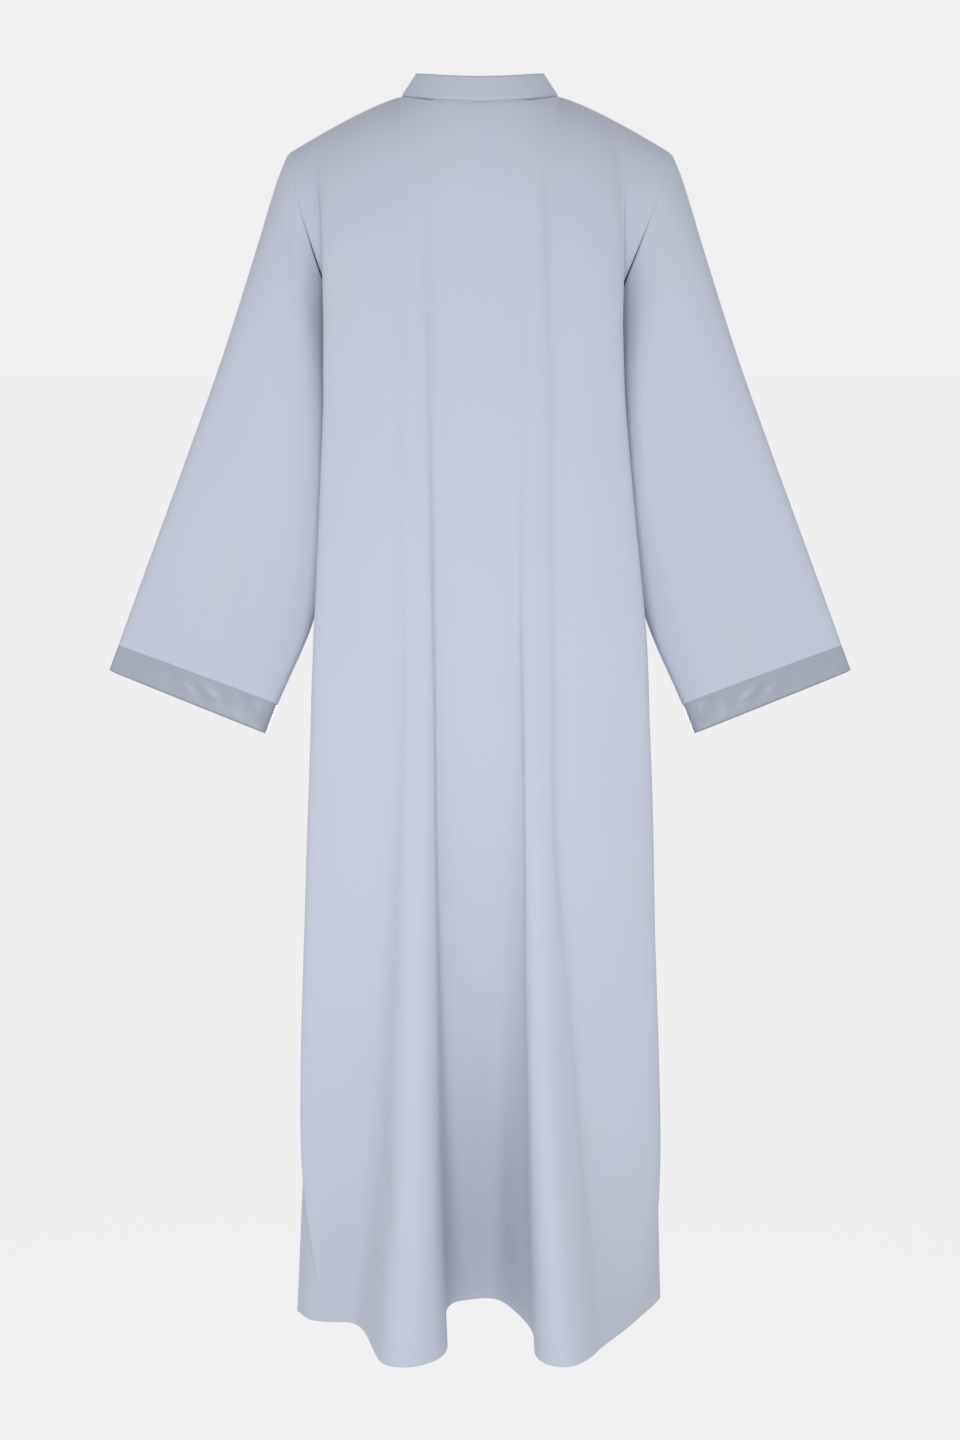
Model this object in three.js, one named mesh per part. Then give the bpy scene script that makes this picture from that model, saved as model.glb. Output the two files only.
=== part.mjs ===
// A full-length abaya, worn and hollow, in millimetres.
// +Z is up, +X is the wearer's right and -Y is the wearer's back. The origin is between the
// two neck ends of the shoulder seams, where the wearer's shoulders carry the garment.
// It is cut as a back, two lapped fronts, two set-in sleeves with satin cuff bands, and a
// stand collar. Every piece is a closed wall of cloth, one cloth thick.
import * as THREE from "three";

// Cloth and sewing
const clothThickness = 2;
const seamGap = 0.3;

// Body lengths, measured down from the neck end of the shoulder seam
const backLength = 1420;
const underarmDrop = 245;

// Shoulders, from the centre out
const neckHalfWidth = 88;
const shoulderHalfWidth = 214;
const shoulderDrop = 62;
const shoulderBow = 1.22; // the shoulder falls away as this power of the way out
const underarmHalfWidth = { left: 155, right: 143 };

// Neckline
const neckBackReach = 74;
const neckFrontReach = 88;
const neckBackDrop = 8;
const neckFrontDrop = 78;

// How far each armhole seam bows away from the shoulder line, how far it swings out on its way
// up, and how square it turns at the underarm and the shoulder
const armholeBackBow = 68;
const armholeFrontBow = 56;
const armholeCurve = { left: 0.85, right: 1 };
const armholeSquareness = 2.6;

// How square the cloth turns from the back or chest over to the shoulder: 2 is an ellipse.
// Out to neckLeanWidth it leans in to the neckline instead, as neckLeanPower of the rise from
// the underarm, and takes the neckline's own curve as neckSharpness of it.
const shoulderSquareness = 2.1;
const neckLeanWidth = 150;
const neckLeanPower = 4;
const neckSharpness = 12;

// Stand collar
const collarHeight = 30;
const collarLeanSide = 34;
const collarLeanBack = 25;
const collarLeanFront = 12;
const collarFrontGap = 6;

// Fronts: the wearer's right laps over the left, between two of the fold lines below
const lapFirstLine = 11;
const lapLastLine = 13;
const lapFadeLine = 15;

// Half widths of the hanging body at places down it. The outer folds of the back stand out to
// `left` and `right`, and the side seams lie in behind them until the arms are clear.
const outline = [
  { down: 245, left: 173, right: 157, sideLeft: 155, sideRight: 143 },
  { down: 330, left: 175, right: 161, sideLeft: 156, sideRight: 146 },
  { down: 450, left: 181, right: 174, sideLeft: 160, sideRight: 154 },
  { down: 590, left: 188, right: 188, sideLeft: 173, sideRight: 171 },
  { down: 700, left: 192, right: 191, sideLeft: 184, sideRight: 183 },
  { down: 800, left: 196, right: 195, sideLeft: 189, sideRight: 189 },
  { down: 950, left: 204, right: 200, sideLeft: 194, sideRight: 195 },
  { down: 1100, left: 214, right: 209, sideLeft: 202, sideRight: 203 },
  { down: 1250, left: 223, right: 218, sideLeft: 212, sideRight: 213 },
  { down: 1420, left: 220, right: 221, sideLeft: 220.5, sideRight: 220.5 },
];

// Fold lines of the back, from the wearer's left side seam to the right one. Each runs down the
// cloth from `top`, where it meets the shoulder seam or the neckline. `chest` and `hem` are its
// distances from the centre at the underarm and at the hem, and `chestY` and `hemY` its depths.
const backFolds = [
  { line: "left side seam", top: -214, chest: -155, chestY: 0, hem: -220.5, hemY: -38 },
  { line: "left underarm", top: -205, chest: -153, chestY: -34, hem: -205, hemY: -64 },
  { line: "left tuck", top: -192, chest: -149, chestY: -66, hem: -192, hemY: -70 },
  { line: "left outer fold", top: -178, chest: -181, chestY: -95, hem: -174, hemY: -72 },
  { line: "left panel", top: -146, chest: -136, chestY: -107, hem: -150, hemY: -72 },
  { line: "left flute foot", top: -112, chest: -106, chestY: -109, hem: -134, hemY: -94 },
  { line: "left flute wall", top: -88, chest: -92, chestY: -110, hem: -123.5, hemY: -150 },
  { line: "left flute crest", top: -77, chest: -78, chestY: -115, hem: -112, hemY: -192 },
  { line: "left flute brow", top: -66, chest: -66, chestY: -115, hem: -72, hemY: -197 },
  { line: "left flute edge", top: -56, chest: -56, chestY: -112, hem: -34, hemY: -160 },
  { line: "left flute back", top: -45, chest: -48, chestY: -108, hem: -43, hemY: -85 },
  { line: "valley left", top: -26, chest: -34, chestY: -110, hem: -40, hemY: -18 },
  { line: "valley", top: -3, chest: -6, chestY: -110, hem: -10, hemY: -5 },
  { line: "valley right", top: 19, chest: 22, chestY: -110, hem: 22, hemY: -1 },
  { line: "right flute foot", top: 33, chest: 35, chestY: -109, hem: 46, hemY: -48 },
  { line: "right flute wall", top: 44, chest: 43, chestY: -110, hem: 65.5, hemY: -105 },
  { line: "right flute brow", top: 55, chest: 51, chestY: -114, hem: 61, hemY: -170 },
  { line: "right flute crest", top: 68, chest: 61, chestY: -115, hem: 86, hemY: -197 },
  { line: "right flute side", top: 88, chest: 74, chestY: -111, hem: 116, hemY: -190 },
  { line: "right slope", top: 107, chest: 90, chestY: -107, hem: 150, hemY: -128 },
  { line: "right panel", top: 126, chest: 120, chestY: -108, hem: 174, hemY: -90 },
  { line: "right outer fold", top: 146, chest: 164, chestY: -90, hem: 194, hemY: -52 },
  { line: "right tuck", top: 172, chest: 143, chestY: -68, hem: 208, hemY: -27 },
  { line: "right underarm", top: 199, chest: 143, chestY: -34, hem: 215, hemY: -12 },
  { line: "right side seam", top: 214, chest: 143, chestY: 0, hem: 220.5, hemY: 0 },
];

// Fold lines of the front, in the same order and with the same columns
const frontFolds = [
  { line: "left side seam", top: -214, chest: -155, chestY: 0, hem: -220.5, hemY: -38 },
  { line: "left underarm", top: -205, chest: -150, chestY: 30, hem: -209, hemY: 4 },
  { line: "left tuck", top: -192, chest: -146, chestY: 62, hem: -191, hemY: 42 },
  { line: "left outer fold", top: -178, chest: -164, chestY: 96, hem: -168, hemY: 72 },
  { line: "left panel", top: -146, chest: -138, chestY: 110, hem: -146, hemY: 84 },
  { line: "left flute foot", top: -112, chest: -115, chestY: 115, hem: -132, hemY: 118 },
  { line: "left flute wall", top: -88, chest: -97, chestY: 117, hem: -126, hemY: 172 },
  { line: "left flute crest", top: -79, chest: -81, chestY: 119, hem: -96, hemY: 190 },
  { line: "left flute brow", top: -68, chest: -67, chestY: 119, hem: -66, hemY: 176 },
  { line: "left flute back", top: -52, chest: -54, chestY: 117, hem: -58, hemY: 110 },
  { line: "left of the lap", top: -34, chest: -40, chestY: 117, hem: -44, hemY: 68 },
  { line: "outer lap edge", top: -17, chest: -20, chestY: 118, hem: -22, hemY: 62 },
  { line: "centre front", top: 0, chest: 0, chestY: 118, hem: 0, hemY: 64 },
  { line: "under lap edge", top: 17, chest: 18, chestY: 118, hem: 22, hemY: 66 },
  { line: "right of the lap", top: 31, chest: 36, chestY: 117, hem: 42, hemY: 76 },
  { line: "right flute back", top: 45, chest: 52, chestY: 117, hem: 56, hemY: 126 },
  { line: "right flute brow", top: 59, chest: 66, chestY: 120, hem: 71, hemY: 180 },
  { line: "right flute crest", top: 74, chest: 80, chestY: 119, hem: 98.5, hemY: 196 },
  { line: "right flute side", top: 88, chest: 94, chestY: 116, hem: 123, hemY: 176 },
  { line: "right slope", top: 107, chest: 111, chestY: 115, hem: 143, hemY: 128 },
  { line: "right panel", top: 126, chest: 132, chestY: 109, hem: 165, hemY: 92 },
  { line: "right outer fold", top: 146, chest: 157, chestY: 95, hem: 187, hemY: 66 },
  { line: "right tuck", top: 172, chest: 142, chestY: 62, hem: 203, hemY: 42 },
  { line: "right underarm", top: 199, chest: 141, chestY: 30, hem: 214, hemY: 20 },
  { line: "right side seam", top: 214, chest: 143, chestY: 0, hem: 220.5, hemY: 0 },
];
const leftNeckLine = 6; // this line and rightNeckLine end where the shoulder seams meet the neck
const rightNeckLine = 18;
const armholePull = 1.2; // the outer columns are drawn to the armhole seam as this power
const sideLines = 3; // the first lines from each side seam go by the side
const edgeLines = 4; // and the outer fold after them goes by the outline
const foldGrowth = 3; // the folds deepen as this power of the way down from the underarm
const foldDrift = 3.5; // and move sideways as this power
const edgeDrift = 7;

// Sleeve stations: the outer edge of the flattened tube, its inner edge on the `left` and the
// `right`, its depth each side of the middle, how far that middle hangs forward, and how much
// higher than the middle the tube's back lies. `along` 1 is the cuff seam.
const sleeveStations = [
  {
    along: 0, outer: 214, outerDown: 62, left: 155, right: 143,
    innerDown: 245, depth: 62, forward: -6, lift: 0,
  },
  {
    along: 0.05, outer: 225.5, outerDown: 91, left: 157, right: 145,
    innerDown: 266, depth: 58, forward: -13, lift: 0,
  },
  {
    along: 0.2, outer: 250.5, outerDown: 174, left: 161, right: 150,
    innerDown: 330, depth: 46, forward: -34, lift: 1,
  },
  {
    along: 0.4, outer: 287.5, outerDown: 286, left: 165, right: 158,
    innerDown: 425, depth: 37, forward: -42, lift: 2,
  },
  {
    along: 0.6, outer: 329.5, outerDown: 397, left: 173, right: 170,
    innerDown: 508, depth: 30, forward: -40, lift: 3,
  },
  {
    along: 0.8, outer: 373.5, outerDown: 508, left: 193, right: 193,
    innerDown: 590, depth: 24, forward: -28, lift: 4,
  },
  {
    along: 1, outer: 416.5, outerDown: 616, left: 235, right: 235,
    innerDown: 685, depth: 18, forward: -11, lift: 5,
  },
  {
    along: 1.06, outer: 428, outerDown: 645, left: 248.5, right: 248.5,
    innerDown: 719, depth: 18, forward: -8, lift: 5,
  },
];
const cuffEnd = 1.06;
const sleeveHeadFade = 0.6; // how far along the armhole's own shape is still felt
const sleeveClusterFade = 0.2; // by here along, the columns close in on both edges
const sleeveInnerTurn = 0.15; // how gently the tube turns at its inner edge: 0 is square
const sleeveOuterTurn = 0.22;

// Fineness of the walls
const columnsPerLine = 2;
const rowsBelowUnderarm = 14;
const rowsAboveUnderarm = 11;
const sleeveRows = 15;
const cuffRows = 2;
const collarRows = 2;

// --- small helpers ---

const lerp = THREE.MathUtils.lerp;
const radians = THREE.MathUtils.degToRad;
const clamp01 = (x) => THREE.MathUtils.clamp(x, 0, 1);
const softStep = (x) => THREE.MathUtils.smoothstep(x, 0, 1);
const sideOf = (hand) => (hand < 0 ? "left" : "right");
const steps = (from, to, count) => Array.from({ length: count + 1 }, (_, i) => lerp(from, to, i / count));

// Reads one column of a table at a place along its key column, on a smooth curve through the rows.
function read(table, key, column, at) {
  const last = table.length - 1;
  const place = THREE.MathUtils.clamp(at, table[0][key], table[last][key]);
  let i = 0;
  while (i < last - 1 && place > table[i + 1][key]) i += 1;
  const slope = (j) => {
    const a = table[Math.max(j - 1, 0)];
    const b = table[Math.min(j + 1, last)];
    return (b[column] - a[column]) / (b[key] - a[key]);
  };
  const span = table[i + 1][key] - table[i][key];
  const t = (place - table[i][key]) / span;
  const bend = slope(i) * span * t * (1 - t) ** 2 - slope(i + 1) * span * t * t * (1 - t);
  return lerp(table[i][column], table[i + 1][column], t * t * (3 - 2 * t)) + bend;
}

// A point on the smooth curve that a row of control points pulls: a quadratic B-spline.
function pulled(controls, at) {
  const last = controls.length - 1;
  const k = Math.min(Math.round(at), last);
  const t = at - k;
  const before = k > 0 ? controls[k - 1] : controls[0].clone().multiplyScalar(2).sub(controls[1]);
  const after = k < last ? controls[k + 1] : controls[last].clone().multiplyScalar(2).sub(controls[last - 1]);
  return new THREE.Vector3()
    .addScaledVector(before, 0.5 * (0.5 - t) ** 2)
    .addScaledVector(controls[k], 0.75 - t * t)
    .addScaledVector(after, 0.5 * (0.5 + t) ** 2);
}

// --- the body as two sheets, back and front, sewn at the sides and shoulders ---

const back = {
  folds: backFolds,
  side: -1,
  neckReach: neckBackReach,
  neckDrop: neckBackDrop,
  bow: armholeBackBow,
};
const front = {
  folds: frontFolds,
  side: 1,
  neckReach: neckFrontReach,
  neckDrop: neckFrontDrop,
  bow: armholeFrontBow,
};
const lastLine = backFolds.length - 1;

// The horizontal section of a sheet, `down` below the shoulder, as its fold lines' control points.
function sectionControls(sheet, down) {
  const way = clamp01((down - underarmDrop) / (backLength - underarmDrop));
  return sheet.folds.map((fold, k) => {
    const y = lerp(fold.chestY, fold.hemY, way ** foldGrowth);
    const fromEdge = Math.min(k, lastLine - k);
    if (fromEdge >= edgeLines) {
      return new THREE.Vector3(lerp(fold.chest, fold.hem, way ** foldDrift), y, -down);
    }
    const side = k < lastLine / 2 ? "Left" : "Right";
    const column = fromEdge < sideLines ? `side${side}` : side.toLowerCase();
    const half = (place) => read(outline, "down", column, place);
    const fromChest = (fold.chest * half(down)) / half(underarmDrop);
    const fromHem = (fold.hem * half(down)) / half(backLength);
    return new THREE.Vector3(lerp(fromChest, fromHem, way ** edgeDrift), y, -down);
  });
}

// Where a place across a sheet meets the shoulder seam or the neckline.
function topPoint(sheet, at) {
  const k = Math.min(Math.floor(at), lastLine - 1);
  const x = lerp(sheet.folds[k].top, sheet.folds[k + 1].top, at - k);
  const outward = clamp01((Math.abs(x) - neckHalfWidth) / (shoulderHalfWidth - neckHalfWidth));
  const inward = clamp01(1 - (x / neckHalfWidth) ** 2);
  return new THREE.Vector3(
    x,
    sheet.side * sheet.neckReach * Math.sqrt(inward),
    -shoulderDrop * outward ** shoulderBow - sheet.neckDrop * inward,
  );
}

// The armhole seam, from the underarm at rise 0 to the shoulder tip at rise 1.
function armholePoint(sheet, hand, rise) {
  const side = sideOf(hand);
  return new THREE.Vector3(
    hand * lerp(underarmHalfWidth[side], shoulderHalfWidth, rise ** armholeCurve[side]),
    sheet.side * sheet.bow * Math.sin(Math.PI * clamp01(rise)) ** (1 / armholeSquareness),
    lerp(-underarmDrop, -shoulderDrop, rise),
  );
}

// The share of the rise from underarm to shoulder at a step of the turn.
function riseAt(step) {
  return step >= 1 ? 1 : Math.sin((step * Math.PI) / 2) ** (2 / shoulderSquareness);
}

// The share of the depth that is left there, on a line that meets the top `x` from the centre.
function depthAt(step, x) {
  const turned = step >= 1 ? 0 : Math.cos((step * Math.PI) / 2) ** (2 / shoulderSquareness);
  const leant = 1 - riseAt(step) ** neckLeanPower;
  return lerp(leant, turned, softStep(Math.abs(x) / neckLeanWidth));
}

// A point above the underarm. The outer columns are drawn over to the armhole seam.
function upperPoint(sheet, at, step) {
  const rise = riseAt(step);
  const hung = (place) => {
    const chest = pulled(chestControls.get(sheet), place);
    const top = topPoint(sheet, place);
    const inward = clamp01(1 - (top.x / neckLeanWidth) ** 2) ** 2;
    const lean = lerp(sheet.side * sheet.neckReach * inward, top.y, rise ** neckSharpness);
    return new THREE.Vector3(
      lerp(chest.x, top.x, rise ** 3),
      lerp(lean, chest.y, depthAt(step, top.x)),
      lerp(chest.z, top.z, rise),
    );
  };
  const point = hung(at);
  const edge = at < lastLine / 2 ? 0 : lastLine;
  const pull = clamp01(1 - Math.abs(at - edge) / sideLines) ** armholePull;
  const seam = armholePoint(sheet, edge ? 1 : -1, rise).sub(hung(edge));
  return point.addScaledVector(seam, pull);
}
const chestControls = new Map([back, front].map((sheet) => [sheet, sectionControls(sheet, underarmDrop)]));

// A sheet's grid of points between two fold lines: rows run up from the hem.
function sheetGrid(sheet, fromLine, toLine) {
  const places = steps(fromLine, toLine, (toLine - fromLine) * columnsPerLine);
  const below = steps(backLength, underarmDrop, rowsBelowUnderarm).map((down) => {
    const controls = sectionControls(sheet, down);
    return places.map((at) => pulled(controls, at));
  });
  const above = steps(0, 1, rowsAboveUnderarm)
    .slice(1)
    .map((step) => places.map((at) => upperPoint(sheet, at, step)));
  return [...below, ...above];
}

// --- sleeves ---

// The share of the tube's depth at a place across it, quick to fill at the inner edge.
function fullness(rise) {
  const fullest = sleeveInnerTurn / (sleeveInnerTurn + sleeveOuterTurn);
  return (rise / fullest) ** sleeveInnerTurn * ((1 - rise) / (1 - fullest)) ** sleeveOuterTurn;
}

// A point on a sleeve: `rise` runs from the inner edge to the outer one, over the back or front.
function sleevePoint(sheet, hand, along, rise) {
  const station = (column, at) => read(sleeveStations, "along", column, at);
  const swell = sheet.side * fullness(rise);
  const lens = (at) =>
    new THREE.Vector3(
      hand * lerp(station(sideOf(hand), at), station("outer", at), rise),
      station("forward", at) + station("depth", at) * swell,
      -lerp(station("innerDown", at), station("outerDown", at), rise) - station("lift", at) * swell,
    );
  const head = armholePoint(sheet, hand, rise).sub(lens(0));
  return lens(along).addScaledVector(head, clamp01(1 - along / sleeveHeadFade) ** 2);
}

// Rings of a sleeve or cuff, each from the shoulder tip down the back and up the front.
function sleeveGrid(hand, fromAlong, toAlong, rows) {
  return steps(fromAlong, toAlong, rows).map((along) => {
    const clustered = clamp01(along / sleeveClusterFade);
    const rises = steps(0, 1, rowsAboveUnderarm).map((step) =>
      lerp(riseAt(step), (1 - Math.cos(Math.PI * step)) / 2, clustered),
    );
    return [
      ...rises.toReversed().map((rise) => sleevePoint(back, hand, along, rise)),
      ...rises.slice(1, -1).map((rise) => sleevePoint(front, hand, along, rise)),
    ];
  });
}

// --- collar ---

// The collar's rows, from the right side of the centre front round the back to the left side.
function collarGrid() {
  const stretch = (sheet, fromLine, toLine) =>
    steps(fromLine, toLine, Math.abs(toLine - fromLine) * columnsPerLine).map((at) => topPoint(sheet, at));
  const middle = lastLine / 2;
  const seam = [
    ...stretch(front, middle, rightNeckLine),
    ...stretch(back, rightNeckLine, leftNeckLine).slice(1),
    ...stretch(front, leftNeckLine, middle).slice(1),
  ];
  seam[0].x += collarFrontGap / 2;
  seam.at(-1).x -= collarFrontGap / 2;
  return steps(0, 1, collarRows).map((share) =>
    seam.map((point) => {
      const outward = new THREE.Vector3(point.x / neckHalfWidth, point.y / neckBackReach, 0).normalize();
      const endLean = point.y < 0 ? collarLeanBack : collarLeanFront;
      const lean = radians(lerp(collarLeanSide, endLean, outward.y ** 2));
      const rise = lerp(seamGap, collarHeight, share);
      const leant = point.clone().addScaledVector(outward, -rise * Math.sin(lean));
      return leant.setZ(point.z + rise * Math.cos(lean));
    }),
  );
}

// --- walls ---

// Outward normals of a grid. `facing` is 1 where across x up points out of the garment.
function gridNormals(grid, facing, ring) {
  const rows = grid.length;
  const columns = grid[0].length;
  const column = (c) => (ring ? (c + columns) % columns : THREE.MathUtils.clamp(c, 0, columns - 1));
  return grid.map((row, r) =>
    row.map((_, c) => {
      const across = row[column(c + 1)].clone().sub(row[column(c - 1)]);
      const up = grid[Math.min(r + 1, rows - 1)][c].clone().sub(grid[Math.max(r - 1, 0)][c]);
      return across.cross(up).multiplyScalar(facing).normalize();
    }),
  );
}

// Normals that meet at one seam point, so that both walls are cut square to the same line.
const seamPoints = [];
const samePlace = 0.01;
const seamAt = (point) => seamPoints.find((seam) => seam.point.distanceTo(point) < samePlace);
function isEdge(sheet, r, c) {
  const acrossEdge = !sheet.ring && (c === 0 || c === sheet.grid[0].length - 1);
  return acrossEdge || r === 0 || r === sheet.grid.length - 1;
}
function noteSeams(sheet) {
  sheet.grid.forEach((row, r) =>
    row.forEach((point, c) => {
      if (!isEdge(sheet, r, c)) return;
      const seam = seamAt(point) ?? { point, normals: [] };
      if (seam.normals.length === 0) seamPoints.push(seam);
      seam.normals.push(sheet.normals[r][c]);
    }),
  );
}

// The shared normal at a seam. Where the two cloths face each other, each keeps its own.
function sewnNormal(sheet, r, c) {
  const own = sheet.normals[r][c];
  const meeting = (seamAt(sheet.grid[r][c])?.normals ?? [own]).filter((other) => other.dot(own) > 0.2);
  return meeting.reduce((sum, other) => sum.add(other), new THREE.Vector3()).normalize();
}

// Draws the outer points back from each seam by half the gap, into their own cloth.
function trimmedPoint(sheet, r, c) {
  const { grid, ring } = sheet;
  const rows = grid.length;
  const columns = grid[0].length;
  const point = grid[r][c].clone();
  const drawTo = (inward) => point.addScaledVector(inward.clone().sub(grid[r][c]).normalize(), seamGap / 2);
  if (r === 0) drawTo(grid[1][c]);
  if (r === rows - 1) drawTo(grid[rows - 2][c]);
  if (!ring && c === 0) drawTo(grid[r][1]);
  if (!ring && c === columns - 1) drawTo(grid[r][columns - 2]);
  if (isEdge(sheet, r, c)) point.addScaledVector(sheet.normals[r][c], -seamGap / 2);
  return point;
}

// A closed wall: the outer points, the same points moved in by the cloth, and a rim.
function wallGeometry(sheet) {
  const { grid, ring, facing } = sheet;
  const rows = grid.length;
  const columns = grid[0].length;
  const outer = grid.map((row, r) => row.map((_, c) => trimmedPoint(sheet, r, c)));
  const inner = outer.map((row, r) =>
    row.map((point, c) => point.clone().addScaledVector(sewnNormal(sheet, r, c), -clothThickness)),
  );
  const positions = [...outer.flat(), ...inner.flat()].flatMap((point) => point.toArray());
  const at = (layer, r, c) => layer * rows * columns + r * columns + (c % columns);
  const faces = [];
  const quad = (a, b, c, d) => faces.push(...(facing > 0 ? [a, b, c, a, c, d] : [a, c, b, a, d, c]));
  const lastColumn = ring ? columns : columns - 1;
  for (let r = 0; r < rows - 1; r += 1) {
    for (let c = 0; c < lastColumn; c += 1) {
      quad(at(0, r, c), at(0, r, c + 1), at(0, r + 1, c + 1), at(0, r + 1, c));
      quad(at(1, r, c), at(1, r + 1, c), at(1, r + 1, c + 1), at(1, r, c + 1));
    }
    if (!ring) {
      quad(at(0, r, 0), at(0, r + 1, 0), at(1, r + 1, 0), at(1, r, 0));
      quad(at(0, r, lastColumn), at(1, r, lastColumn), at(1, r + 1, lastColumn), at(0, r + 1, lastColumn));
    }
  }
  for (let c = 0; c < lastColumn; c += 1) {
    quad(at(0, 0, c), at(1, 0, c), at(1, 0, c + 1), at(0, 0, c + 1));
    quad(at(0, rows - 1, c), at(0, rows - 1, c + 1), at(1, rows - 1, c + 1), at(1, rows - 1, c));
  }
  const geometry = new THREE.BufferGeometry();
  geometry.setAttribute("position", new THREE.Float32BufferAttribute(positions, 3));
  geometry.setIndex(faces);
  geometry.computeVertexNormals();
  return geometry;
}

// Lifts the lapping edge of a front out over the other one by a cloth and a gap.
function liftLap(grid, normals, fromLine) {
  const lift = clothThickness + seamGap;
  return grid.map((row, r) =>
    row.map((point, c) => {
      const line = fromLine + c / columnsPerLine;
      const share = clamp01((lapFadeLine - line) / (lapFadeLine - lapLastLine));
      return point.clone().addScaledVector(normals[r][c], lift * share * share * (3 - 2 * share));
    }),
  );
}

// --- the pieces ---

const crepe = new THREE.MeshStandardMaterial({
  name: "crepe",
  color: 0xbfc6d9,
  roughness: 0.82,
  metalness: 0,
});
const satin = new THREE.MeshStandardMaterial({
  name: "satin",
  color: 0xa9afc1,
  roughness: 0.42,
  metalness: 0,
});

function makeSheet(name, grid, facing, ring, material) {
  return { name, grid, facing, ring, material, normals: gridNormals(grid, facing, ring) };
}

const leftFront = makeSheet("front_left", sheetGrid(front, 0, lapLastLine), -1, false, crepe);
const rightFront = makeSheet("front_right", sheetGrid(front, lapFirstLine, lastLine), -1, false, crepe);
rightFront.grid = liftLap(rightFront.grid, rightFront.normals, lapFirstLine);

const sheets = [
  makeSheet("back", sheetGrid(back, 0, lastLine), 1, false, crepe),
  leftFront,
  rightFront,
  makeSheet("collar", collarGrid(), -1, false, crepe),
];
for (const [side, hand] of [["left", -1], ["right", 1]]) {
  sheets.push(makeSheet(`sleeve_${side}`, sleeveGrid(hand, 0, 1, sleeveRows), hand, true, crepe));
  sheets.push(makeSheet(`cuff_${side}`, sleeveGrid(hand, 1, cuffEnd, cuffRows), hand, true, satin));
}
sheets.forEach(noteSeams);

const abaya = new THREE.Group();
abaya.name = "abaya";
for (const sheet of sheets) {
  const mesh = new THREE.Mesh(wallGeometry(sheet), sheet.material);
  mesh.name = sheet.name;
  abaya.add(mesh);
}

export default abaya;
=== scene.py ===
import math

import bpy
import numpy as np
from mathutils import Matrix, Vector


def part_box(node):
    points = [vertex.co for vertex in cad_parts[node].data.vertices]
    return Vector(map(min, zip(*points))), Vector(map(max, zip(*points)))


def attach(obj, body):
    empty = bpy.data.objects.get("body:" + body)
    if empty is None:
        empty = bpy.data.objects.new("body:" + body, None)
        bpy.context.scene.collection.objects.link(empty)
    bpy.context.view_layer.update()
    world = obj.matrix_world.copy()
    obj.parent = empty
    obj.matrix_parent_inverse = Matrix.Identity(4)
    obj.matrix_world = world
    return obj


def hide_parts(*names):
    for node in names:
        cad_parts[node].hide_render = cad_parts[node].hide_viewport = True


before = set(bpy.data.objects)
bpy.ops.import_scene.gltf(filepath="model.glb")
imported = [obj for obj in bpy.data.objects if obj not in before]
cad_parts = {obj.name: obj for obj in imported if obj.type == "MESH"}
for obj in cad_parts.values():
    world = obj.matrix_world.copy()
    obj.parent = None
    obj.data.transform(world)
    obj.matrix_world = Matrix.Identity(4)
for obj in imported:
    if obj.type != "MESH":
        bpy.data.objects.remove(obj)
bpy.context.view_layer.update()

# An abaya, worn and hollow. Metres, +Z up, the garment's back faces -Y and +X is the wearer's
# right. The cloth is the same drape as the frame's solids, drawn finer and sewn together.

print("abaya: sizes")

garment = {
    "length": -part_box("back")[0].z,  # neck end of the shoulder seam to the hem
    "underarmDown": 0.245,
    "underarmHalfWidth": {"left": 0.155, "right": 0.143},
    "neckHalfWidth": 0.088,
    "shoulderHalfWidth": 0.214,
    "shoulderDrop": 0.062,
    "shoulderBow": 1.22,  # the shoulder falls away as this power of the way out
    "shoulderSquareness": 2.1,  # how square the cloth turns over the shoulder, 2 is an ellipse
    "neckLeanPower": 4,  # and how late it leans in to the neckline instead
    "leanWidth": 0.150,  # how far out that lean is felt
    "neckSharpness": 12,  # and how late it takes the neckline's own curve
    "clothThickness": 0.0011,
}

# half widths of the hanging body: the outer fold of each side, and the side seam behind it
outlineColumns = ("down", "left", "right", "sideLeft", "sideRight")
outline = (
    (0.245, 0.173, 0.157, 0.155, 0.143),
    (0.330, 0.175, 0.161, 0.156, 0.146),
    (0.450, 0.181, 0.174, 0.160, 0.154),
    (0.590, 0.188, 0.188, 0.173, 0.171),
    (0.700, 0.192, 0.191, 0.184, 0.183),
    (0.800, 0.196, 0.195, 0.189, 0.189),
    (0.950, 0.204, 0.200, 0.194, 0.195),
    (1.100, 0.214, 0.209, 0.202, 0.203),
    (1.250, 0.223, 0.218, 0.212, 0.213),
    (1.420, 0.220, 0.221, 0.2205, 0.2205),
)

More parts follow.
